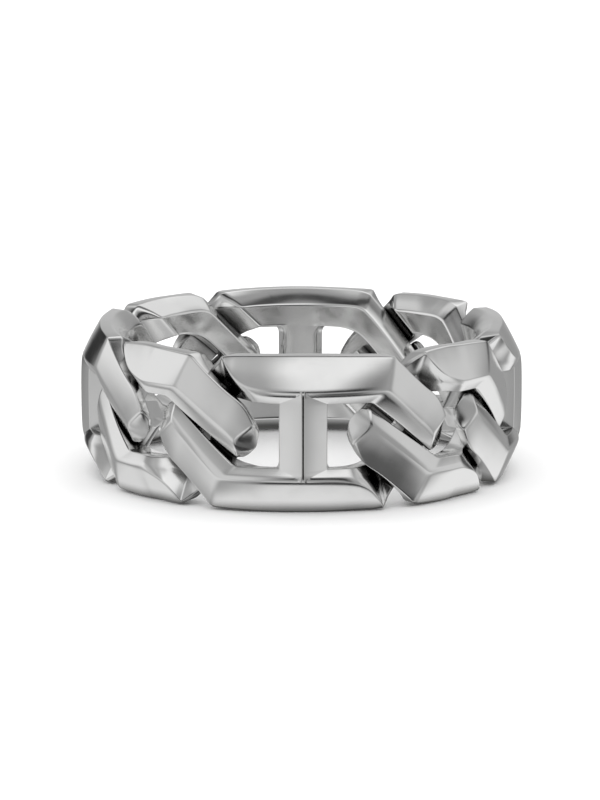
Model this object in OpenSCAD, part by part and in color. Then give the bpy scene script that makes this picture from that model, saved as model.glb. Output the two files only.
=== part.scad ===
// Chain link ring: eight interlocking links in one closed circle, lying on its side.
// Every link is a bent bar swept through sections, made twice: the second half is the first
// one turned half way round about the line from the ring's axis through the link's middle.

/* [Ring] */
// Diameter of the finger hole
finger_d = 19.8; // [15.5:0.1:23]
// Thickness of the band, from the finger hole to the outermost ridge
wall = 2.6; // [2:0.05:3.2]
// Width of the band, from rim to rim
band_w = 8.7; // [6:0.1:11]

/* [Links] */
// Half length of a long link's rail, in degrees about the ring's axis
long_rail_deg = 22; // [20.5:0.1:22.6]
// Half length of a small link's rail, in degrees about the ring's axis
small_rail_deg = 11.4; // [10:0.1:12]
// Reach of a long link's arm past the end of its rail, in degrees about the ring's axis
long_arm_deg = 19.8; // [18.5:0.1:20.6]
// Reach of a small link's arm past the end of its rail, in degrees about the ring's axis
small_arm_deg = 21.0; // [19.5:0.1:21.6]
// Gap between an upper arm and the lower arm that it crosses
play = 0.12; // [0.08:0.01:0.2]

/* [Crossbar] */
// Width of a long link's crossbar
bar_w = 2.62; // [1.8:0.02:2.9]
// Width of the flat face that the crossbar turns to the finger
bar_face_w = 1.86; // [1:0.02:2.2]
// Rise of the crossbar's middle above the links' ridges
bar_rise = 0.16; // [0:0.02:0.3]
// Fall of the crossbar's two facets, from its middle to its sides
bar_fall = 0.5; // [0.2:0.05:0.7]
// Width of the fine groove along the crossbar's middle
groove_w = 0.14; // [0.1:0.01:0.3]

/* [Hidden] */
silver = [0.80, 0.80, 0.81];

bore_r = finger_d / 2;
outer_r = bore_r + wall;
half_w = band_w / 2;
links = 8;
pitch_deg = 360 / links;

// Shares of the wall at which an upper arm ends below and a lower arm ends above
split = 0.5;
up = split + play / 2 / wall;
low = split - play / 2 / wall;

// The seven edges of a bar, in this order in every row below: the opening's edge at the bore and
// outside, the middle of the inner bevel, the ridge, the rim outside and inside, and the bore's edge.
// Each edge is [angle, height, depth]: the angle as a share of the arm's reach past the rail's end, the
// height as a share of half_w above the ring's middle, the depth as a share of wall out from the bore.
// Upper arm, from the rail's end to the cap at its nose
upper_rows = [
    [[-0.50, 0.50, 0], [-0.43, 0.40, 0.87], [-0.36, 0.51, 0.98], [-0.33, 0.57, 1.00],
     [-0.20, 0.98, 0.72], [-0.12, 0.98, 0.46], [-0.33, 0.80, 0]],
    [[-0.41, 0.50, 0], [-0.20, 0.40, 0.87], [-0.06, 0.51, 0.98], [0.00, 0.56, 1.00],
     [0.14, 0.96, 0.79], [0.16, 0.96, 0.46], [-0.03, 0.79, 0]],
    [[-0.15, 0.36, up], [-0.11, 0.33, 0.85], [0.03, 0.43, 0.96], [0.10, 0.47, 0.98],
     [0.25, 0.85, 0.79], [0.30, 0.80, 0.57], [0.27, 0.76, up]],
    [[0.29, 0.03, up], [0.29, 0.03, 0.76], [0.41, 0.13, 0.87], [0.47, 0.17, 0.88],
     [0.60, 0.54, 0.77], [0.66, 0.49, 0.57], [0.62, 0.45, up]],
    [[0.52, -0.14, up], [0.52, -0.15, 0.72], [0.60, -0.02, 0.84], [0.64, 0.03, 0.86],
     [0.85, 0.38, 0.77], [0.88, 0.32, 0.57], [0.84, 0.28, up]],
    [[0.74, -0.31, up], [0.74, -0.32, 0.69], [0.78, -0.17, 0.82], [0.80, -0.10, 0.84],
     [0.97, 0.16, 0.78], [1.00, 0.12, 0.57], [0.96, 0.09, up]],
    [[0.81, -0.29, up], [0.81, -0.32, 0.62], [0.89, -0.26, 0.61], [0.97, -0.18, 0.58],
     [1.03, 0.03, 0.60], [1.03, 0.02, 0.56], [0.98, -0.02, up]],
];
// Lower arm, from the rail's end to its nose
lower_rows = [
    [[-0.51, 0.50, 0], [-0.52, 0.41, 0.87], [-0.51, 0.51, 0.98], [-0.49, 0.58, 1.00],
     [-0.45, 0.99, 0.64], [-0.42, 0.99, 0.40], [-0.40, 0.80, 0]],
    [[-0.38, 0.49, 0], [-0.40, 0.42, 0.78], [-0.33, 0.53, 0.84], [-0.25, 0.67, 0.96],
     [-0.23, 0.985, 0.68], [-0.23, 0.985, 0.40], [-0.22, 0.80, 0]],
    [[-0.26, 0.47, 0], [-0.27, 0.42, 0.60], [-0.17, 0.57, 0.60], [-0.11, 0.82, 0.88],
     [-0.09, 0.98, 0.73], [-0.08, 0.97, 0.38], [-0.08, 0.79, 0]],
    [[-0.14, 0.43, 0], [-0.14, 0.42, low], [-0.02, 0.64, low], [-0.03, 0.95, 0.79],
     [-0.01, 0.97, 0.75], [0.05, 0.93, 0.36], [0.04, 0.75, 0]],
    [[-0.02, 0.38, 0], [-0.02, 0.37, low], [0.10, 0.58, low], [0.16, 0.79, low],
     [0.19, 0.81, 0.43], [0.22, 0.78, 0.33], [0.18, 0.65, 0]],
    [[0.30, 0.13, 0], [0.30, 0.12, low], [0.42, 0.30, low], [0.54, 0.44, low],
     [0.58, 0.46, 0.42], [0.58, 0.45, 0.30], [0.52, 0.36, 0]],
    [[0.66, -0.18, 0], [0.66, -0.20, low], [0.78, -0.08, low], [0.88, 0.08, low],
     [0.93, 0.12, 0.42], [0.93, 0.12, 0.26], [0.88, 0.06, 0]],
];
// Rail's middle, long and small: the same edges, without their angle
long_middle = [[0.50, 0], [0.40, 0.87], [0.51, 0.98], [0.57, 1.00], [1.00, 0.62], [1.00, 0.38], [0.80, 0]];
small_middle = [[0.50, 0], [0.40, 0.87], [0.51, 0.98], [0.57, 1.00], [0.985, 0.70], [0.985, 0.46], [0.80, 0]];
// Half length of the level stretch at a rail's middle, on which the ring rests, in degrees
rest_deg = 6;
// Longest step along a rail, in degrees
rail_step = 6;
// Neck that joins the upper arm's nose to the lower arm below it: angle and height of its corners
neck_plan = [[0.42, -0.06], [0.66, 0.17], [0.84, -0.03], [0.66, -0.21]];
neck_depth = [0.26, 0.58];
// Crossbar: its half height as a share of half_w, and how far its sides reach in, as a share of wall
bar_reach = 0.55;
bar_side_depth = 0.25;

edges = len(long_middle);

// A point given by its angle about the ring's axis, its height above the ring's middle and its depth
function ring_point(angle, height, depth) =
    let (r = bore_r + depth * wall)
    [r * sin(angle), -r * cos(angle), height * half_w];

// The rows of an arm as points; side is 1 for the upper arm and -1 for the lower one
function arm_points(rows, rail_deg, arm_deg, side) =
    [for (row = rows) [for (e = row) ring_point(side * (rail_deg + e[0] * arm_deg), e[1], e[2])]];

// The rows along a rail between its two ends: level at its middle, then on a curve to each end
function rail_points(middle, rail_deg, arm_deg) =
    let (start = -(rail_deg + lower_rows[0][3][0] * arm_deg),
         end = rail_deg + upper_rows[0][3][0] * arm_deg,
         steps = max(2, ceil((end - start) / rail_step)))
    [for (i = [1:steps - 1])
        [for (k = [0:edges - 1])
            let (a = -(rail_deg + lower_rows[0][k][0] * arm_deg),
                 b = rail_deg + upper_rows[0][k][0] * arm_deg,
                 angle = a + (b - a) * i / steps,
                 tip = angle < 0 ? lower_rows[0][k] : upper_rows[0][k],
                 reach = abs(angle < 0 ? a : b),
                 level = min(rest_deg, reach / 2),
                 bend = pow(max(0, abs(angle) - level) / (reach - level), 2))
            ring_point(angle,
                middle[k][0] + (tip[1] - middle[k][0]) * bend,
                middle[k][1] + (tip[2] - middle[k][1]) * bend)]];

function reversed(list) = [for (i = [len(list) - 1:-1:0]) list[i]];

// A solid through rows of points, each row a closed loop of the same number of points
module swept(rows) {
    count = len(rows);
    n = len(rows[0]);
    points = [for (row = rows) each row];
    skin = [for (i = [0:count - 2]) for (k = [0:n - 1])
        let (a = i * n + k, b = i * n + (k + 1) % n, c = a + n, d = b + n)
        each [[a, b, d], [a, d, c]]];
    caps = [for (k = [1:n - 2]) each [[0, k + 1, k], [(count - 1) * n, (count - 1) * n + k,
        (count - 1) * n + k + 1]]];
    polyhedron(points, concat(skin, caps));
}

// Half a link: its lower arm, its rail and its upper arm
module half_link(middle, rail_deg, arm_deg) {
    swept(concat(
        reversed(arm_points(lower_rows, rail_deg, arm_deg, -1)),
        rail_points(middle, rail_deg, arm_deg),
        arm_points(upper_rows, rail_deg, arm_deg, 1)));
}

// The neck inside a link's nose, where the wire turns from the upper layer to the lower one
module neck(rail_deg, arm_deg) {
    swept([for (depth = neck_depth)
        [for (c = neck_plan) ring_point(rail_deg + c[0] * arm_deg, c[1], depth)]]);
}

// The crossbar of a long link, with its fine groove
module crossbar() {
    top_r = outer_r + bar_rise;
    side_r = bore_r + bar_side_depth * wall;
    half = [
        [groove_w / 2, top_r], [bar_w / 2, top_r - bar_fall],
        [bar_w / 2, side_r], [bar_face_w / 2, bore_r],
    ];
    outline = concat([[0, -top_r + groove_w]],
        [for (p = half) [p[0], -p[1]]],
        [for (p = reversed(half)) [-p[0], -p[1]]]);
    translate([0, 0, -bar_reach * half_w])
        linear_extrude(height = 2 * bar_reach * half_w)
            polygon(outline);
}

// A whole link at its place in the ring
module link(middle, rail_deg, arm_deg, place, barred) {
    color(silver)
    translate([0, 0, half_w])
    rotate([0, 0, place * pitch_deg])
    union() {
        for (turn = [0, 180])
            rotate([0, turn, 0]) {
                half_link(middle, rail_deg, arm_deg);
                neck(rail_deg, arm_deg);
            }
        if (barred) crossbar();
    }
}

module long_link(place) { link(long_middle, long_rail_deg, long_arm_deg, place, true); }
module small_link(place) { link(small_middle, small_rail_deg, small_arm_deg, place, false); }

long_link(0);  // long_link_front
small_link(1);  // small_link_front_right
long_link(2);  // long_link_right
small_link(3);  // small_link_back_right
long_link(4);  // long_link_back
small_link(5);  // small_link_back_left
long_link(6);  // long_link_left
small_link(7);  // small_link_front_left
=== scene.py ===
"""Dresses the chain link ring: eight interlocking links of polished silver on a pale studio floor.

Every link is a bent bar, swept through sections and softened at its edges, and made twice: the second
half is the first one turned half way round about the line from the ring's axis through the link's middle.
Sizes are in millimetres until a mesh is finished, when it is scaled to the frame's metres.
"""

import logging
import math
from dataclasses import dataclass
from enum import Enum

import bmesh
import bpy
import numpy as np
from mathutils import Matrix, Vector


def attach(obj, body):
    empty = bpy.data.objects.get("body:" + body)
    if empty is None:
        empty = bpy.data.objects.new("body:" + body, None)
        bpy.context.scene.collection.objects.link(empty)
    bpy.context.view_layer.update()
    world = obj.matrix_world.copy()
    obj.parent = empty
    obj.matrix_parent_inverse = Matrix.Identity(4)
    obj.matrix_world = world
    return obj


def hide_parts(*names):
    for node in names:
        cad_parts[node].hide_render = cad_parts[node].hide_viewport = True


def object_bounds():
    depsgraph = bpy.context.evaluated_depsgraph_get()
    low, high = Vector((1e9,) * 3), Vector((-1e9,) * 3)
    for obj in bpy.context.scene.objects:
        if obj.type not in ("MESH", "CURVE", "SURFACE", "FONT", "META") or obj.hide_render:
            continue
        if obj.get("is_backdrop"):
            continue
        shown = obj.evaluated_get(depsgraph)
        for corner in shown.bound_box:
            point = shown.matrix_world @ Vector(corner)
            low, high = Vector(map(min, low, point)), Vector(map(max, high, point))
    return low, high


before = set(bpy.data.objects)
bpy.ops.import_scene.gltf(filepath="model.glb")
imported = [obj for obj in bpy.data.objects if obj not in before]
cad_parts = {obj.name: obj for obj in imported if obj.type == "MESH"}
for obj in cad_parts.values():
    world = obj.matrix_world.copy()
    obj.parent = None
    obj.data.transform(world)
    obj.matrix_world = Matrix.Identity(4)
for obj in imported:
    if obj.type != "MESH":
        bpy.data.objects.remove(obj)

LOG = logging.getLogger("chain_link_ring")
MILLIMETRE = 0.001
MICROMETRE = MILLIMETRE / 1000
PITCH_DEG = 45.0
BODY = "root"
SIDES = ("front", "front_right", "right", "back_right", "back", "back_left", "left", "front_left")
# In millimetres: how near two points are one, how small a face has no area, the slack with which two
# equal lengths are compared, and the smallest length that is divided by
SAME_POINT = 1e-4
NO_AREA = 1e-5
SLACK = 1e-6
TINY = 1e-9
# What each neighbour gives to the middle of a flowing corner
NEIGHBOUR_SHARE = 1 / 8
# The sockets of a Mix node that mixes colours
MIX_FIRST, MIX_SECOND, MIX_RESULT = 6, 7, 2
# How far a corner is drawn back: one length, or a column of one for every section
Reach = float | np.ndarray


class Layer(Enum):
    """The two layers in which arms cross: its value is the side of the rail's middle on which an arm lies."""

    UPPER = 1
    LOWER = -1


class Softness(Enum):
    """How far a corner is drawn back from its control point, in millimetres."""

    CRISP = 0.035
    POLISHED = 0.075
    WORN = 0.14
    ROLLED = 0.24
    FLOWING = 99.0


@dataclass(frozen=True)
class RingSizes:
    """Sizes of the whole ring.

    Args:
        outer_r: Radius over the links' ridges.
        half_w: Half the band's width.
        wall: Thickness of the band, from the finger hole to the ridges.
        play: Gap between an upper arm and the lower arm that it crosses.
        bar_rise: Rise of the crossbars' middles above the ridges.
    """

    outer_r: float
    half_w: float
    wall: float = 2.6
    play: float = 0.12
    bar_rise: float = 0.16

    @classmethod
    def from_frame(cls) -> "RingSizes":
        """Reads the ring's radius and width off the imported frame.

        Returns:
            The sizes, in millimetres.
        """
        low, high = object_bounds()
        reach = (high.x - low.x) / 2 / MILLIMETRE
        return cls(outer_r=reach - cls.bar_rise, half_w=(high.z - low.z) / 2 / MILLIMETRE)

    @property
    def bore_r(self) -> float:
        """Radius of the finger hole."""
        return self.outer_r - self.wall

    def depth_share(self, layer: Layer) -> float:
        """Share of the wall at which an arm of that layer faces the arm that it crosses."""
        return 0.5 + layer.value * self.play / 2 / self.wall

    def place(self, flat: np.ndarray) -> np.ndarray:
        """Bends flat points round the ring.

        Args:
            flat: Points as angle in degrees, height over half_w and depth over wall, in the last axis.

        Returns:
            The points as x, y and z about the ring's middle.
        """
        angle = np.radians(flat[..., 0])
        radius = self.bore_r + flat[..., 2] * self.wall
        height = flat[..., 1] * self.half_w
        return np.stack([radius * np.sin(angle), -radius * np.cos(angle), height], axis=-1)

    @property
    def flat_scale(self) -> np.ndarray:
        """Millimetres in one unit of each flat coordinate, at the middle of the wall."""
        return np.array([math.radians(self.bore_r + self.wall / 2), self.half_w, self.wall])


@dataclass(frozen=True)
class Section:
    """One section across a bar.

    Args:
        softness: How far the bar is drawn back where it turns at this section.
        edges: Angle share, height share and depth share of each of the seven edges.
    """

    softness: Softness
    edges: tuple[tuple[float, float, float], ...]


@dataclass(frozen=True)
class Edge:
    """One of the edges that run along a bar.

    Args:
        name: What the edge is.
        before: How far it is rounded on the side of the edge before it.
        after: How far it is rounded on the side of the edge after it.
    """

    name: str
    before: Softness
    after: Softness


SIZES = RingSizes.from_frame()
UP = SIZES.depth_share(Layer.UPPER)
LOW = SIZES.depth_share(Layer.LOWER)

# The edges of a bar, in this order in every section; the two crowns are put in between them
EDGES = (
    Edge("opening's foot at the bore", Softness.WORN, Softness.WORN),
    Edge("opening's edge outside", Softness.POLISHED, Softness.POLISHED),
    Edge("inner bevel's middle", Softness.WORN, Softness.WORN),
    Edge("ridge", Softness.POLISHED, Softness.ROLLED),
    Edge("broad facet's crown", Softness.FLOWING, Softness.FLOWING),
    Edge("rim outside", Softness.WORN, Softness.POLISHED),
    Edge("rim inside", Softness.POLISHED, Softness.WORN),
    Edge("bore bevel's crown", Softness.FLOWING, Softness.FLOWING),
    Edge("bore's edge", Softness.WORN, Softness.WORN),
)
RIDGE = 3
RIM_INSIDE = 5
UPPER_ARM = (
    Section(Softness.FLOWING, (
        (-0.50, 0.50, 0), (-0.43, 0.40, 0.87), (-0.36, 0.51, 0.98), (-0.33, 0.57, 1.00),
        (-0.20, 0.98, 0.72), (-0.12, 0.98, 0.46), (-0.33, 0.80, 0))),
    Section(Softness.ROLLED, (
        (-0.41, 0.50, 0), (-0.20, 0.40, 0.87), (-0.06, 0.51, 0.98), (0.00, 0.56, 1.00),
        (0.14, 0.96, 0.79), (0.16, 0.96, 0.46), (-0.03, 0.79, 0))),
    Section(Softness.FLOWING, (
        (-0.15, 0.36, UP), (-0.11, 0.33, 0.85), (0.03, 0.43, 0.96), (0.10, 0.47, 0.98),
        (0.25, 0.85, 0.79), (0.30, 0.80, 0.57), (0.27, 0.76, UP))),
    Section(Softness.FLOWING, (
        (0.29, 0.03, UP), (0.29, 0.03, 0.76), (0.41, 0.13, 0.87), (0.47, 0.17, 0.88),
        (0.60, 0.54, 0.77), (0.66, 0.49, 0.57), (0.62, 0.45, UP))),
    Section(Softness.FLOWING, (
        (0.52, -0.14, UP), (0.52, -0.15, 0.72), (0.60, -0.02, 0.84), (0.64, 0.03, 0.86),
        (0.85, 0.38, 0.77), (0.88, 0.32, 0.57), (0.84, 0.28, UP))),
    Section(Softness.WORN, (
        (0.74, -0.31, UP), (0.74, -0.32, 0.69), (0.74, -0.15, 0.82), (0.75, -0.07, 0.84),
        (0.99, 0.12, 0.78), (1.01, 0.10, 0.57), (0.96, 0.08, UP))),
    Section(Softness.POLISHED, (
        (0.81, -0.29, UP), (0.81, -0.32, 0.62), (0.90, -0.28, 0.61), (1.00, -0.18, 0.58),
        (1.03, 0.02, 0.60), (1.03, 0.01, 0.56), (0.98, -0.02, UP))),
)
LOWER_ARM = (
    Section(Softness.FLOWING, (
        (-0.51, 0.50, 0), (-0.52, 0.41, 0.87), (-0.51, 0.51, 0.98), (-0.49, 0.58, 1.00),
        (-0.45, 0.99, 0.64), (-0.42, 0.99, 0.40), (-0.40, 0.80, 0))),
    Section(Softness.FLOWING, (
        (-0.38, 0.49, 0), (-0.40, 0.42, 0.78), (-0.33, 0.53, 0.84), (-0.25, 0.67, 0.96),
        (-0.23, 0.985, 0.68), (-0.23, 0.985, 0.40), (-0.22, 0.80, 0))),
    Section(Softness.FLOWING, (
        (-0.26, 0.47, 0), (-0.27, 0.42, 0.60), (-0.17, 0.57, 0.60), (-0.11, 0.82, 0.88),
        (-0.09, 0.98, 0.73), (-0.08, 0.97, 0.38), (-0.08, 0.79, 0))),
    Section(Softness.WORN, (
        (-0.14, 0.43, 0), (-0.14, 0.42, LOW), (-0.02, 0.64, LOW), (-0.03, 0.95, 0.79),
        (-0.01, 0.97, 0.75), (0.05, 0.93, 0.36), (0.04, 0.75, 0))),
    Section(Softness.FLOWING, (
        (-0.02, 0.38, 0), (-0.02, 0.37, LOW), (0.10, 0.58, LOW), (0.16, 0.79, LOW),
        (0.19, 0.81, 0.43), (0.22, 0.78, 0.33), (0.18, 0.65, 0))),
    Section(Softness.FLOWING, (
        (0.30, 0.13, 0), (0.30, 0.12, LOW), (0.42, 0.30, LOW), (0.54, 0.44, LOW),
        (0.58, 0.46, 0.42), (0.58, 0.45, 0.30), (0.52, 0.36, 0))),
    Section(Softness.POLISHED, (
        (0.66, -0.18, 0), (0.66, -0.20, LOW), (0.78, -0.08, LOW), (0.88, 0.08, LOW),
        (0.93, 0.12, 0.42), (0.93, 0.12, 0.26), (0.88, 0.06, 0))),
)
# The edges at a rail's middle, as height share and depth share
LONG_MIDDLE = ((0.50, 0), (0.40, 0.87), (0.51, 0.985), (0.57, 1.00), (1.00, 0.62), (1.00, 0.38), (0.80, 0))
SMALL_MIDDLE = ((0.50, 0), (0.40, 0.87), (0.51, 0.985), (0.57, 1.00), (0.985, 0.70), (0.985, 0.46), (0.80, 0))


def softened(points: np.ndarray, reach: list[tuple[Reach, Reach]], steps: int, closed: bool) -> np.ndarray:
    """Rounds the corners along the first axis of a grid of points.

    Args:
        points: Control points, with the run of corners in the first axis and x, y, z in the last.
        reach: How far each corner is drawn back at most, before and after it, in millimetres.
        steps: How many facets stand for one corner.
        closed: Whether the run is a loop.

    Returns:
        The grid with every corner given as steps + 1 points of a parabola.
    """
    count = len(points)
    runs = []
    for i in range(count):
        if not closed and i in (0, count - 1):
            runs.append(points[i][None])
            continue
        here, before, after = points[i], points[i - 1], points[(i + 1) % count]
        ends = []
        for other, most in zip((before, after), reach[i]):
            way = other - here
            length = np.maximum(np.linalg.norm(way, axis=-1, keepdims=True), TINY)
            ends.append(here + way / length * np.minimum(most, length / 2))
        share = np.linspace(0, 1, steps + 1).reshape(-1, *([1] * here.ndim))
        runs.append((1 - share) ** 2 * ends[0] + 2 * share * (1 - share) * here + share**2 * ends[1])
    return np.concatenate(runs)


def crowned(rows: np.ndarray, edge: int, share: float) -> np.ndarray:
    """Puts a slightly raised line along the middle of one of a bar's facets.

    Args:
        rows: The bar's sections, with the edges in the second axis.
        edge: The edge before the facet.
        share: The rise as a share of the facet's width.

    Returns:
        The sections with the crown's edge after that one.
    """
    start, end = rows[:, edge], rows[:, edge + 1]
    across, along = end - start, np.gradient(start, axis=0)
    outwards = np.cross(across, along)
    outwards /= np.maximum(np.linalg.norm(outwards, axis=-1, keepdims=True), TINY)
    middle = (start + end) / 2
    outwards *= np.sign(np.sum(outwards * (middle - rows.mean(axis=1)), axis=-1, keepdims=True))
    rise = share * np.linalg.norm(across, axis=-1, keepdims=True)
    return np.insert(rows, edge + 1, middle + outwards * rise, axis=1)


def refined(points: np.ndarray, longest: float) -> np.ndarray:
    """Splits steps along the first axis that are longer than a limit.

    Args:
        points: A grid with x, y, z in the last axis.
        longest: The longest step that stays, in millimetres.

    Returns:
        The grid with points added on its straight stretches.
    """
    rows = [points[0]]
    for start, end in zip(points[:-1], points[1:]):
        length = np.linalg.norm(end - start, axis=-1).max()
        parts = max(1, math.ceil(length / longest))
        rows += [start + (end - start) * part / parts for part in range(1, parts + 1)]
    return np.array(rows)


def shell(name: str, rows: np.ndarray) -> bpy.types.Object:
    """Closes rows of points into a solid bar.

    Args:
        name: Name of the new object.
        rows: Points in millimetres, as rows of closed loops.

    Returns:
        An object whose mesh is the closed bar, with its faces turned outwards.
    """
    count, around = rows.shape[:2]
    made = bmesh.new()
    grid = [[made.verts.new(point) for point in row] for row in rows]
    for i in range(count - 1):
        for k in range(around):
            after = (k + 1) % around
            made.faces.new((grid[i][k], grid[i][after], grid[i + 1][after], grid[i + 1][k]))
    made.faces.new(grid[0])
    made.faces.new(grid[-1])
    bmesh.ops.remove_doubles(made, verts=made.verts, dist=SAME_POINT)
    bmesh.ops.dissolve_degenerate(made, dist=NO_AREA, edges=made.edges)
    bmesh.ops.recalc_face_normals(made, faces=made.faces)
    mesh = bpy.data.meshes.new(name)
    made.to_mesh(mesh)
    made.free()
    part = bpy.data.objects.new(name, mesh)
    bpy.context.scene.collection.objects.link(part)
    return part


def fused(name: str, parts: list[bpy.types.Object]) -> bpy.types.Mesh:
    """Joins overlapping bars into one solid.

    Args:
        name: Name of the new mesh.
        parts: The bars, which are removed from the scene.

    Returns:
        The mesh of their union.
    """
    first = parts[0]
    for other in parts[1:]:
        join = first.modifiers.new("join", "BOOLEAN")
        join.operation, join.solver, join.object = "UNION", "MANIFOLD", other
    graph = bpy.context.evaluated_depsgraph_get()
    mesh = bpy.data.meshes.new_from_object(first.evaluated_get(graph))
    mesh.name = name
    for part in parts:
        bpy.data.objects.remove(part)
    return mesh


@dataclass
class Link:
    """A chain link made of two equal halves.

    Args:
        place: Number of the link round the ring, from the front one to the right.
        node: Name of the CAD node that the link stands for.
        rail_deg: Half length of its rail, in degrees about the ring's axis.
        arm_deg: Reach of its arm past the end of its rail, in degrees.
        middle: The edges at its rail's middle, as height share and depth share.
        longest_step: Longest step between two sections of the bar.
        corner_steps: How many facets stand for a corner along the bar.
        edge_steps: How many facets stand for an edge round the bar.
        crown: Rise of the broad facet's middle, as a share of its width.
        bore_crown: Rise of the bore bevel's middle, as a share of its width.
        neck_plan: Corners of the neck, as share of the arm's reach and height share.
        neck_depth: Depth shares between which the neck stands.
        cap_share: Size of the small cap that closes a nose, as a share of its last section.
        worn_length: Length of the nose over which its edges are more worn.
        nose_wear: How much rounder the edges are at the very nose, in times.
        sharp_deg: Angle between faces above which an edge is sharp.
    """

    place: int
    node: str
    rail_deg: float
    arm_deg: float
    middle: tuple[tuple[float, float], ...]
    longest_step: float = 0.25
    corner_steps: int = 8
    edge_steps: int = 5
    crown: float = 0.018
    bore_crown: float = 0.05
    neck_plan: tuple[tuple[float, float], ...] = ((0.42, -0.06), (0.66, 0.17), (0.84, -0.03), (0.66, -0.21))
    neck_depth: tuple[float, float] = (0.26, 0.58)
    cap_share: float = 0.3
    worn_length: float = 1.5
    nose_wear: float = 1.6
    sharp_deg: float = 38.0

    def arm(self, sections: tuple[Section, ...], layer: Layer) -> list[tuple[Softness, np.ndarray]]:
        """The control sections of an arm.

        Args:
            sections: The arm's table, from the rail's end to the nose.
            layer: The layer in which it lies.

        Returns:
            Softness and flat points of each section.
        """
        found = []
        for section in sections:
            flat = np.array(section.edges)
            flat[:, 0] = layer.value * (self.rail_deg + flat[:, 0] * self.arm_deg)
            found.append((section.softness, flat))
        return found

    def rail(self) -> tuple[Softness, np.ndarray]:
        """The control section between the rail's ends, so set that the rail reaches its middle's edges.

        Returns:
            Its softness and its flat points.
        """
        low, high = (np.array(table[0].edges) for table in (LOWER_ARM, UPPER_ARM))
        angle = (high[:, 0] - low[:, 0]) * self.arm_deg / 2
        given = (low[:, 1:] + high[:, 1:]) * NEIGHBOUR_SHARE
        edges = (np.array(self.middle) - given) / (1 - 2 * NEIGHBOUR_SHARE)
        return Softness.FLOWING, np.column_stack([angle, edges])

    def wear(self, rows: np.ndarray) -> np.ndarray:
        """How much rounder the edges are at each section, which grows towards the upper arm's nose.

        Args:
            rows: The bar's sections, in millimetres, with the upper arm's nose last.

        Returns:
            A column with one factor for each section.
        """
        middles = rows.mean(axis=1)
        steps = np.linalg.norm(np.diff(middles, axis=0), axis=-1)
        to_nose = np.append(np.cumsum(steps[::-1])[::-1], 0.0)
        share = np.clip(1 - to_nose / self.worn_length, 0, 1)
        return (1 + self.nose_wear * share * share * (3 - 2 * share))[:, None]

    def half(self) -> bpy.types.Object:
        """Half a link: its lower arm, its rail and its upper arm, with softened edges.

        Returns:
            The closed bar, in millimetres.
        """
        lower, upper = self.arm(LOWER_ARM, Layer.LOWER), self.arm(UPPER_ARM, Layer.UPPER)
        sections = [*reversed(lower), self.rail(), *upper]
        scale = SIZES.flat_scale
        rows = np.array([flat for _, flat in sections]) * scale
        caps = [row.mean(axis=0) + (row - row.mean(axis=0)) * self.cap_share for row in (rows[0], rows[-1])]
        rows = np.concatenate([caps[0][None], rows, caps[1][None]])
        along = [(reach, reach) for reach in (0.0, *(softness.value for softness, _ in sections), 0.0)]
        rows = refined(softened(rows, along, self.corner_steps, closed=False), self.longest_step)
        rows[..., 1] = np.clip(rows[..., 1], -SIZES.half_w, SIZES.half_w)
        wear = self.wear(rows)
        around = [(edge.before.value * wear, edge.after.value * wear) for edge in EDGES]
        rows = crowned(crowned(rows, RIM_INSIDE, self.bore_crown), RIDGE, self.crown)
        loops = softened(rows.swapaxes(0, 1), around, self.edge_steps, closed=True)
        return shell("half", SIZES.place(loops.swapaxes(0, 1) / scale))

    def neck(self) -> bpy.types.Object:
        """The neck inside the nose, where the wire turns from the upper layer to the lower one.

        Returns:
            The closed block, in millimetres.
        """
        rows = [
            [(self.rail_deg + angle * self.arm_deg, height, depth) for angle, height in self.neck_plan]
            for depth in self.neck_depth
        ]
        return shell("neck", SIZES.place(np.array(rows)))

    def parts(self) -> list[bpy.types.Object]:
        """The bars that make up the link, before they are joined.

        Returns:
            Two halves with their necks.
        """
        turned = Matrix.Rotation(math.pi, 4, "Y")
        made = []
        for turn in (Matrix.Identity(4), turned):
            for part in (self.half(), self.neck()):
                part.data.transform(turn)
                made.append(part)
        return made

    def build(self, finish: "PolishedSilver") -> bpy.types.Object:
        """Makes the link and puts it in its place.

        Args:
            finish: The metal that it is made of.

        Returns:
            The finished piece, which stands for the CAD node.
        """
        name = f"{self.node}_silver"
        mesh = fused(name, self.parts())
        turn = Matrix.Rotation(math.radians(self.place * PITCH_DEG), 4, "Z")
        lift = Matrix.Translation((0, 0, SIZES.half_w))
        mesh.transform(Matrix.Scale(MILLIMETRE, 4) @ turn @ lift)
        shade_by_angle(mesh, self.sharp_deg)
        piece = bpy.data.objects.new(name, mesh)
        bpy.context.scene.collection.objects.link(piece)
        weigh = piece.modifiers.new("even_facets", "WEIGHTED_NORMAL")
        weigh.keep_sharp = True
        mesh.materials.clear()
        mesh.materials.append(finish.material())
        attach(piece, BODY)
        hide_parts(self.node)
        return piece


@dataclass
class SmallLink(Link):
    """A short link, which joins two long ones.

    Args:
        rail_deg: Half length of its rail, in degrees about the ring's axis.
        arm_deg: Reach of its arm past the end of its rail, in degrees.
        middle: The edges at its rail's middle, as height share and depth share.
    """

    rail_deg: float = 11.4
    arm_deg: float = 21.0
    middle: tuple[tuple[float, float], ...] = SMALL_MIDDLE


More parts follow.
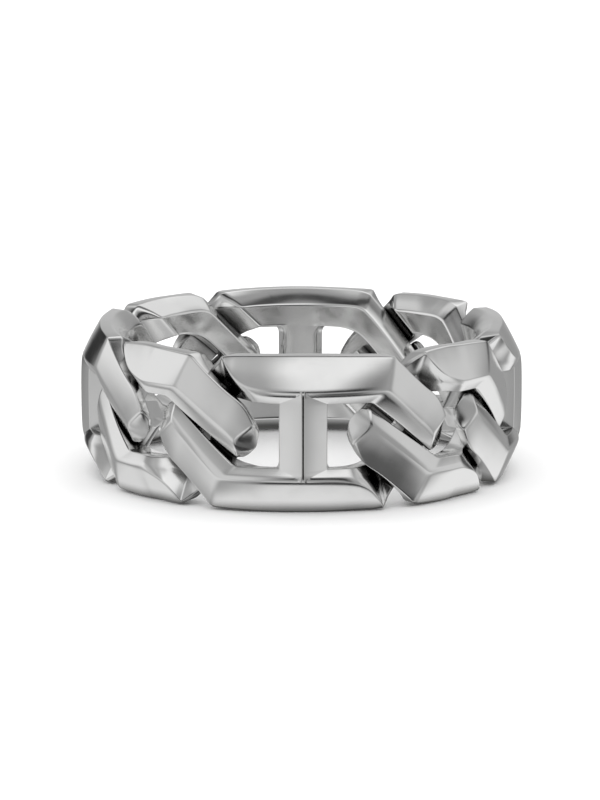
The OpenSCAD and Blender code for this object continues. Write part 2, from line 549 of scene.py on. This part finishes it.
@dataclass
class LongLink(Link):
    """A long link with an upright crossbar.

    Args:
        rail_deg: Half length of its rail, in degrees about the ring's axis.
        arm_deg: Reach of its arm past the end of its rail, in degrees.
        middle: The edges at its rail's middle, as height share and depth share.
        nose_wear: How much rounder the edges are at the very nose, in times.
        bar_w: Width of the crossbar.
        bar_face_w: Width of the face that it turns to the finger.
        bar_fall: Fall of its two outer facets, from its middle to its sides.
        groove_w: Width of the fine groove along its middle.
        bar_reach: Its half height, as a share of half the band's width.
        bar_level: Height share up to which its outer facets stay level.
        bar_side_depth: How far its sides reach in, as a share of the wall.
        bar_step: Longest step between two of its sections.
        fillet: How much it is widened where it meets the rails.
        fillet_from: Height share at which that begins.
        fillet_to: Height share at which that is complete.
    """

    rail_deg: float = 22.0
    arm_deg: float = 19.8
    middle: tuple[tuple[float, float], ...] = LONG_MIDDLE
    bar_w: float = 2.62
    bar_face_w: float = 1.86
    bar_fall: float = 0.5
    groove_w: float = 0.14
    bar_reach: float = 0.575
    bar_level: float = 0.43
    bar_side_depth: float = 0.25
    bar_step: float = 0.1
    fillet: float = 0.3
    fillet_from: float = 0.38
    fillet_to: float = 0.5
    nose_wear: float = 0.6

    def crossbar(self) -> bpy.types.Object:
        """The crossbar, with its fine groove and its two sloping faces.

        Returns:
            The closed bar, in millimetres.
        """
        top_r = SIZES.outer_r + SIZES.bar_rise
        side_r = SIZES.bore_r + self.bar_side_depth * SIZES.wall
        right = [
            (Softness.CRISP, self.groove_w / 2, top_r),
            (Softness.POLISHED, self.bar_w / 2, top_r - self.bar_fall),
            (Softness.WORN, self.bar_w / 2, side_r),
            (Softness.WORN, self.bar_face_w / 2, math.sqrt(SIZES.bore_r**2 - (self.bar_face_w / 2) ** 2)),
        ]
        groove = (Softness.CRISP, 0.0, top_r - self.groove_w)
        face = (Softness.FLOWING, 0.0, SIZES.bore_r)
        left = [(softness, -x, r) for softness, x, r in reversed(right)]
        outline = [groove, *right, face, *left]
        rows = []
        for share, fall in ((-self.bar_reach, SIZES.bar_rise), (-self.bar_level, 0.0),
                            (self.bar_level, 0.0), (self.bar_reach, SIZES.bar_rise)):
            rows.append([(x, -r + (fall if r > side_r else 0), share * SIZES.half_w) for _, x, r in outline])
        along = [(Softness.FLOWING.value, Softness.FLOWING.value)] * len(rows)
        rows = softened(np.array(rows), along, self.corner_steps, closed=False)
        rows = self.filleted(refined(rows, self.bar_step), side_r)
        around = [(softness.value, softness.value) for softness, _, _ in outline]
        loops = softened(rows.swapaxes(0, 1), around, self.edge_steps, closed=True)
        return shell("crossbar", loops.swapaxes(0, 1))

    def filleted(self, rows: np.ndarray, side_r: float) -> np.ndarray:
        """Widens the crossbar towards its ends where it runs into the rails' inner faces.

        Args:
            rows: The crossbar's sections, in millimetres.
            side_r: Distance from the ring's axis up to which it is widened.

        Returns:
            The widened sections.
        """
        height = np.abs(rows[..., 2]) / SIZES.half_w
        share = (height - self.fillet_from) / (self.fillet_to - self.fillet_from)
        inner = (rows[..., 1] > -side_r - SLACK).astype(float)
        rows[..., 0] += np.sign(rows[..., 0]) * self.fillet * np.clip(share, 0, 1) ** 2 * inner
        return rows

    def parts(self) -> list[bpy.types.Object]:
        """The bars that make up the link, its crossbar among them."""
        return [*super().parts(), self.crossbar()]


def shade_by_angle(mesh: bpy.types.Mesh, sharp_deg: float) -> None:
    """Shades a mesh smooth, with sharp edges where its faces meet at a large angle.

    Args:
        mesh: The mesh to shade.
        sharp_deg: The angle between faces above which an edge is sharp.
    """
    made = bmesh.new()
    made.from_mesh(mesh)
    bmesh.ops.remove_doubles(made, verts=made.verts, dist=SAME_POINT * MILLIMETRE)
    for face in made.faces:
        face.smooth = True
    for edge in made.edges:
        edge.smooth = edge.calc_face_angle(0) < math.radians(sharp_deg)
    made.to_mesh(mesh)
    made.free()


@dataclass
class NodeBuilder:
    """Adds shader nodes to a tree and joins them up.

    Args:
        tree: The node tree to build in.
    """

    tree: bpy.types.NodeTree

    def add(self, kind: str, settings: dict[str, object] | None = None, **inputs: object) -> bpy.types.Node:
        """Adds one node.

        Args:
            kind: The node's type, without its Shader prefix.
            settings: Its own settings.
            inputs: Values or sockets for its inputs, with underscores for the spaces in their names.

        Returns:
            The new node.
        """
        node = self.tree.nodes.new(f"ShaderNode{kind}")
        for name, value in (settings or {}).items():
            setattr(node, name, value)
        for name, value in inputs.items():
            self.plug(node.inputs[name.replace("_", " ")], value)
        return node

    def plug(self, socket: bpy.types.NodeSocket, value: object) -> None:
        """Sets a socket, or joins another one to it.

        Args:
            socket: The socket that takes the value.
            value: A value of the socket's kind, or the socket that gives it.
        """
        if isinstance(value, bpy.types.NodeSocket):
            self.tree.links.new(value, socket)
        else:
            socket.default_value = value

    def maths(self, operation: str, *values: object) -> bpy.types.NodeSocket:
        """The result of a sum on numbers.

        Args:
            operation: The Math node's operation.
            values: Its numbers, or the sockets that give them.

        Returns:
            The socket with the result.
        """
        node = self.add("Math", {"operation": operation})
        for socket, value in zip(node.inputs, values):
            self.plug(socket, value)
        return node.outputs[0]

    def dot(self, one: bpy.types.NodeSocket, other: bpy.types.NodeSocket) -> bpy.types.NodeSocket:
        """The dot product of two vectors.

        Args:
            one: The first vector.
            other: The second vector.

        Returns:
            The socket with the product.
        """
        node = self.add("VectorMath", {"operation": "DOT_PRODUCT"})
        self.plug(node.inputs[0], one)
        self.plug(node.inputs[1], other)
        return node.outputs["Value"]

    def ramped(
            self, value: object, low: object, high: object, start: float, end: float) -> bpy.types.NodeSocket:
        """A value carried over smoothly from one range to another.

        Args:
            value: The value that comes in.
            low: Where its range begins.
            high: Where its range ends.
            start: What comes out at the beginning.
            end: What comes out at the end.

        Returns:
            The socket with the result.
        """
        node = self.add("MapRange", {"interpolation_type": "SMOOTHSTEP"}, Value=value, From_Min=low,
                        From_Max=high, To_Min=start, To_Max=end)
        return node.outputs["Result"]

    def given(self) -> bpy.types.bpy_prop_collection:
        """What a group is given, as the sockets of its input node."""
        return self.tree.nodes.new("NodeGroupInput").outputs

    def give(self, name: str, value: bpy.types.NodeSocket) -> None:
        """Hands a value out of a group, through its output of that name."""
        self.plug(self.tree.nodes.new("NodeGroupOutput").inputs[name], value)


@dataclass(frozen=True)
class GroupPort:
    """A socket of a node group.

    Args:
        name: The socket's name.
        kind: Its type, without the NodeSocket prefix.
        default: Its value when nothing is joined to it, for an input.
    """

    name: str
    kind: str
    default: float | None = None


def node_group(
        name: str, inputs: tuple[GroupPort, ...], output: GroupPort) -> tuple[bpy.types.NodeTree, bool]:
    """Finds or makes a node group with its sockets.

    Args:
        name: The group's name.
        inputs: Its inputs.
        output: Its output.

    Returns:
        The group, and whether it was made just now.
    """
    known = bpy.data.node_groups.get(name)
    if known:
        return known, False
    group = bpy.data.node_groups.new(name, "ShaderNodeTree")
    for port in inputs:
        made = group.interface.new_socket(port.name, in_out="INPUT", socket_type=f"NodeSocket{port.kind}")
        if port.default is not None:
            made.default_value = port.default
    group.interface.new_socket(output.name, in_out="OUTPUT", socket_type=f"NodeSocket{output.kind}")
    return group, True


def hand_polish_group() -> bpy.types.NodeTree:
    """Height of the soft waves that polishing by hand leaves on a flat facet, in micrometres.

    Returns:
        The node group, made once.
    """
    inputs = (GroupPort("Place", "Vector"), GroupPort("Wave", "Float", 3.0), GroupPort("Rise", "Float", 1.0))
    group, new = node_group("hand_polish_waves", inputs, GroupPort("Height", "Float"))
    if new:
        build = NodeBuilder(group)
        given = build.given()
        scale = build.maths("DIVIDE", 1 / MILLIMETRE, given["Wave"])
        waves = build.add("TexNoise", Vector=given["Place"], Scale=scale, Detail=1.0, Roughness=0.35)
        level = build.maths("SUBTRACT", waves.outputs["Fac"], 0.5)
        build.give("Height", build.maths("MULTIPLY", level, given["Rise"]))
    return group


def polish_marks_group() -> bpy.types.NodeTree:
    """How rough a polished surface is, with faint fields and hairlines of the polishing wheel.

    Returns:
        The node group, made once.
    """
    inputs = (
        GroupPort("Place", "Vector"), GroupPort("Bright", "Float", 0.1), GroupPort("Dull", "Float", 0.2),
        GroupPort("Hairline", "Float", 0.04))
    group, new = node_group("polishing_marks", inputs, GroupPort("Roughness", "Float"))
    if new:
        build = NodeBuilder(group)
        given = build.given()
        fields = build.add("TexNoise", Vector=given["Place"], Scale=420.0, Detail=3.0, Roughness=0.6)
        share = build.ramped(fields.outputs["Fac"], low=0.35, high=0.7, start=0.0, end=1.0)
        span = build.maths("SUBTRACT", given["Dull"], given["Bright"])
        base = build.maths("ADD", given["Bright"], build.maths("MULTIPLY", share, span))
        drawn_out = build.add(
            "Mapping", Vector=given["Place"], Rotation=(0.4, 0.9, 0.2), Scale=(900.0, 9000.0, 9000.0))
        lines = build.add(
            "TexNoise", Vector=drawn_out.outputs["Vector"], Scale=1.0, Detail=2.0, Roughness=0.5)
        fine = build.ramped(lines.outputs["Fac"], low=0.6, high=0.72, start=0.0, end=1.0)
        marks = build.maths("MULTIPLY", fine, given["Hairline"])
        build.give("Roughness", build.maths("ADD", base, marks))
    return group


def crevice_group() -> bpy.types.NodeTree:
    """How deep in a crevice a point lies, from 0 in the open to 1 where two links all but touch: the mask for
    the painted shade in the silver's colour.

    Returns:
        The node group, made once.
    """
    inputs = (
        GroupPort("Reach", "Float", 0.001), GroupPort("Black", "Float", 0.3),
        GroupPort("Clean", "Float", 0.95))
    group, new = node_group("crevice", inputs, GroupPort("Depth", "Float"))
    if new:
        build = NodeBuilder(group)
        given = build.given()
        open_sky = build.add("AmbientOcclusion", {"samples": 16}, Distance=given["Reach"])
        depth = build.ramped(open_sky.outputs["AO"], given["Black"], given["Clean"], start=1.0, end=0.0)
        build.give("Depth", depth)
    return group


@dataclass(frozen=True)
class PolishedSilver:
    """Polished sterling silver, with painted shade that darkens its colour in its crevices.

    Args:
        clean: Colour of the bright metal.
        crevice_shade: Painted shade, the colour given to the metal deep in a crevice.
        bright: Roughness of its brightest polish.
        dull: Roughness of its dullest polish.
        hairline: What a fine mark adds to the roughness.
        wave: Length of the waves that polishing by hand leaves, in millimetres.
        rise: Height of those waves, in micrometres.
        crevice: How far a crevice reaches, in millimetres.
        black_at: Share of the sky at which a point in a crevice gets the full painted shade.
        clean_at: Share of the sky from which on it stays bright.
    """

    clean: tuple[float, float, float] = (0.94, 0.94, 0.935)
    crevice_shade: tuple[float, float, float] = (0.12, 0.118, 0.115)
    bright: float = 0.12
    dull: float = 0.2
    hairline: float = 0.03
    wave: float = 4.0
    rise: float = 0.8
    crevice: float = 1.0
    black_at: float = 0.22
    clean_at: float = 0.82

    def material(self) -> bpy.types.Material:
        """The silver's material, made once and shared by every link.

        Returns:
            The material.
        """
        known = bpy.data.materials.get("polished_silver")
        if known:
            return known
        made = bpy.data.materials.new("polished_silver")
        made.use_nodes = True
        build = NodeBuilder(made.node_tree)
        shader = made.node_tree.nodes["Principled BSDF"]
        place = build.add("TexCoord").outputs["Object"]
        marks = build.add("Group", {"node_tree": polish_marks_group()}, Place=place, Bright=self.bright,
                          Dull=self.dull, Hairline=self.hairline)
        waves = build.add("Group", {"node_tree": hand_polish_group()}, Place=place, Wave=self.wave,
                          Rise=self.rise)
        crevice = build.add("Group", {"node_tree": crevice_group()}, Reach=self.crevice * MILLIMETRE,
                            Black=self.black_at, Clean=self.clean_at)
        # Painted shade: the colour runs from the clean metal to the dark crevice colour where ambient
        # occlusion finds the links close together
        colour = build.add("Mix", {"data_type": "RGBA"})
        build.plug(colour.inputs["Factor"], crevice.outputs["Depth"])
        build.plug(colour.inputs[MIX_FIRST], (*self.clean, 1))
        build.plug(colour.inputs[MIX_SECOND], (*self.crevice_shade, 1))
        bump = build.add("Bump", Strength=1.0, Distance=MICROMETRE, Height=waves.outputs["Height"])
        build.plug(shader.inputs["Base Color"], colour.outputs[MIX_RESULT])
        build.plug(shader.inputs["Roughness"], marks.outputs["Roughness"])
        build.plug(shader.inputs["Normal"], bump.outputs["Normal"])
        shader.inputs["Metallic"].default_value = 1
        return made


@dataclass(frozen=True)
class SoftBox:
    """A rectangular soft light, far off, that the metal mirrors.

    Args:
        name: What the light is.
        azimuth_deg: Its direction round the ring, from the camera's side to the right.
        elevation_deg: Its direction above the ring's middle plane.
        width_deg: Half its width.
        height_deg: Half its height.
        feather: How much of its half size fades out.
        strength: Its brightness, which is added to the room's, or taken from it by a black card.
    """

    name: str
    azimuth_deg: float
    elevation_deg: float
    width_deg: float
    height_deg: float
    feather: float
    strength: float

    def axes(self) -> tuple[Vector, Vector, Vector]:
        """Its direction, and its sideways and upward directions scaled to its half size.

        Returns:
            Three vectors: towards the light, sideways and upward.
        """
        azimuth, elevation = math.radians(self.azimuth_deg), math.radians(self.elevation_deg)
        level = math.cos(elevation)
        towards = Vector((level * math.sin(azimuth), -level * math.cos(azimuth), math.sin(elevation)))
        side = Vector((math.cos(azimuth), math.sin(azimuth), 0))
        up = side.cross(towards)
        width, height = math.tan(math.radians(self.width_deg)), math.tan(math.radians(self.height_deg))
        return towards, side / width, up / height


SOFT_BOXES = (
    SoftBox("front ceiling panel", 26, 45, 26, 12, 0.5, 0.54),
    SoftBox("left ceiling card", -24, 55, 14, 10, 0.5, 0.26),
    SoftBox("left wall", -92, 17, 24, 19, 0.5, 0.46),
    SoftBox("left front card", -40, 10, 18, 18, 0.5, 0.27),
    SoftBox("left wall, low", -62, -22, 26, 13, 0.5, 0.34),
    SoftBox("rear left wall, low", -124, -40, 15, 15, 0.5, 0.38),
    SoftBox("rear left wall", -178, -8, 14, 26, 0.5, 0.20),
    SoftBox("rear right panel", 148, 46, 24, 16, 0.5, 0.42),
    SoftBox("rear left ceiling", -155, 60, 26, 12, 0.5, 0.30),
    SoftBox("right strip", 88, 12, 18, 20, 0.5, 0.28),
    SoftBox("right card, low", 58, -18, 16, 12, 0.5, 0.28),
    SoftBox("low right panel", 116, -36, 24, 18, 0.5, 0.50),
    SoftBox("low front card", -8, -20, 12, 9, 0.5, 0.34),
    SoftBox("table front", -6, -70, 40, 13, 0.5, 0.42),
    SoftBox("black strip, front", 14, 18, 22, 8, 0.5, -0.34),
    SoftBox("black card, front right", 22, -31, 12, 11, 0.5, -0.23),
    SoftBox("black card, table", 14, -52, 25, 8, 0.5, -0.50),
    SoftBox("black card, rear left", -152, 5, 13, 13, 0.5, -0.32),
    SoftBox("black card, rear right", 135, 11, 16, 9, 0.5, -0.24),
    SoftBox("black card, rear table", 158, -36, 18, 10, 0.5, -0.26),
    SoftBox("black card, left ceiling", -60, 62, 24, 10, 0.5, -0.24),
    SoftBox("black card, overhead", 0, 84, 34, 9, 0.6, -0.26),
)


def soft_box_group() -> bpy.types.NodeTree:
    """The light of one soft box or black card in the world.

    Returns:
        The node group, made once.
    """
    inputs = tuple(GroupPort(name, "Vector") for name in ("Direction", "Towards", "Side", "Up"))
    inputs += (GroupPort("Feather", "Float", 0.5), GroupPort("Strength", "Float", 1.0))
    group, new = node_group("soft_box", inputs, GroupPort("Light", "Float"))
    if new:
        build = NodeBuilder(group)
        given = build.given()
        ahead = build.dot(given["Direction"], given["Towards"])
        reach = build.maths("MAXIMUM", ahead, 0.001)
        light = build.maths("MULTIPLY", given["Strength"], build.maths("GREATER_THAN", ahead, 0.0))
        inner = build.maths("SUBTRACT", 1.0, given["Feather"])
        outer = build.maths("ADD", 1.0, given["Feather"])
        for name in ("Side", "Up"):
            share = build.maths("DIVIDE", build.dot(given["Direction"], given[name]), reach)
            fade = build.ramped(build.maths("ABSOLUTE", share), inner, outer, start=1.0, end=0.0)
            light = build.maths("MULTIPLY", light, fade)
        build.give("Light", light)
    return group


@dataclass
class Studio:
    """Floor, light and camera.

    Args:
        elevation_deg: The camera's height above the ring's middle plane.
        turn_deg: The camera's turn to the left about the ring's axis.
        distance: From the camera to the ring's middle.
        lens: The camera's focal length.
        aim_px: Where the ring's middle shows in the picture.
        picture_px: The picture's width and height, in pixels.
        floor_reach: Half the floor's side.
        floor_tone: How light the floor's paint is.
        floor_roughness: How dull it is.
        room_light: Brightness of the room where there is no soft box.
        darkest: Brightness of the darkest black card.
        dome_strength: Strength of the lamp that lights the floor from the whole sky.
    """

    elevation_deg: float = 11.15
    turn_deg: float = 0.39
    distance: float = 197.3
    lens: float = 154.5
    aim_px: tuple[float, float] = (301.6, 393.2)
    picture_px: tuple[float, float] = (600, 800)
    floor_reach: float = 3000.0
    floor_tone: float = 0.9
    floor_roughness: float = 0.9
    room_light: float = 0.32
    darkest: float = 0.03
    dome_strength: float = 3.3

    def camera(self) -> None:
        """Sets the camera, at the photograph's angle to the ring."""
        up, turn = math.radians(self.elevation_deg), math.radians(self.turn_deg)
        back = Vector((-math.cos(up) * math.sin(turn), -math.cos(up) * math.cos(turn), math.sin(up)))
        data = bpy.data.cameras.new("camera")
        made = bpy.data.objects.new("camera", data)
        bpy.context.scene.collection.objects.link(made)
        middle = Vector((0, 0, SIZES.half_w))
        made.location = (middle + back * self.distance) * MILLIMETRE
        made.rotation_euler = (-back).to_track_quat("-Z", "Y").to_euler()
        data.lens = self.lens
        long_side = max(self.picture_px)
        data.shift_x = (self.picture_px[0] / 2 - self.aim_px[0]) / long_side
        data.shift_y = (self.aim_px[1] - self.picture_px[1] / 2) / long_side
        data.clip_start, data.clip_end = 0.01, 10
        bpy.context.scene.camera = made

    def floor(self) -> None:
        """Lays the pale floor on which the ring lies."""
        half = self.floor_reach * MILLIMETRE
        corners = [(-half, -half, 0), (half, -half, 0), (half, half, 0), (-half, half, 0)]
        mesh = bpy.data.meshes.new("floor")
        mesh.from_pydata(corners, [], [(0, 1, 2, 3)])
        made = bpy.data.objects.new("floor", mesh)
        bpy.context.scene.collection.objects.link(made)
        paint = bpy.data.materials.new("pale_floor")
        paint.use_nodes = True
        shader = paint.node_tree.nodes["Principled BSDF"]
        shader.inputs["Base Color"].default_value = (self.floor_tone, self.floor_tone, self.floor_tone, 1)
        shader.inputs["Roughness"].default_value = self.floor_roughness
        mesh.materials.append(paint)
        made.visible_glossy = False
        made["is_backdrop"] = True

    def light(self) -> None:
        """Sets the soft boxes round the ring, and the lamp that lights the floor."""
        world = bpy.data.worlds.new("studio")
        world.use_nodes = True
        build = NodeBuilder(world.node_tree)
        direction = build.add("TexCoord").outputs["Generated"]
        total = self.room_light
        for box in SOFT_BOXES:
            towards, side, up = box.axes()
            made = build.add("Group", {"node_tree": soft_box_group(), "label": box.name}, Direction=direction,
                             Towards=towards, Side=side, Up=up, Feather=box.feather, Strength=box.strength)
            total = build.maths("ADD", made.outputs["Light"], total)
        background = world.node_tree.nodes["Background"]
        build.plug(background.inputs["Strength"], build.maths("MAXIMUM", total, self.darkest))
        build.plug(background.inputs["Color"], (1, 1, 1, 1))
        bpy.context.scene.world = world
        bpy.context.scene.view_settings.view_transform = "Standard"
        lamp = bpy.data.lights.new("dome", "SUN")
        lamp.angle, lamp.energy = math.pi, self.dome_strength
        made = bpy.data.objects.new("dome", lamp)
        made.visible_glossy = False
        bpy.context.scene.collection.objects.link(made)


def main() -> None:
    """Builds the studio and the links, in order round the ring."""
    logging.basicConfig(level=logging.INFO, format="%(message)s")
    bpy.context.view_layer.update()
    studio = Studio()
    studio.camera()
    studio.floor()
    studio.light()
    LOG.info("studio: camera, floor, lamp and %d soft boxes and cards", len(SOFT_BOXES))
    finish = PolishedSilver()
    for place, side in enumerate(SIDES):
        kind, name = (LongLink, "long_link") if place % 2 == 0 else (SmallLink, "small_link")
        link = kind(place, f"{name}_{side}")
        piece = link.build(finish)
        LOG.info("%s: %d faces", piece.name, len(piece.data.polygons))


if __name__ == "__main__":
    main()
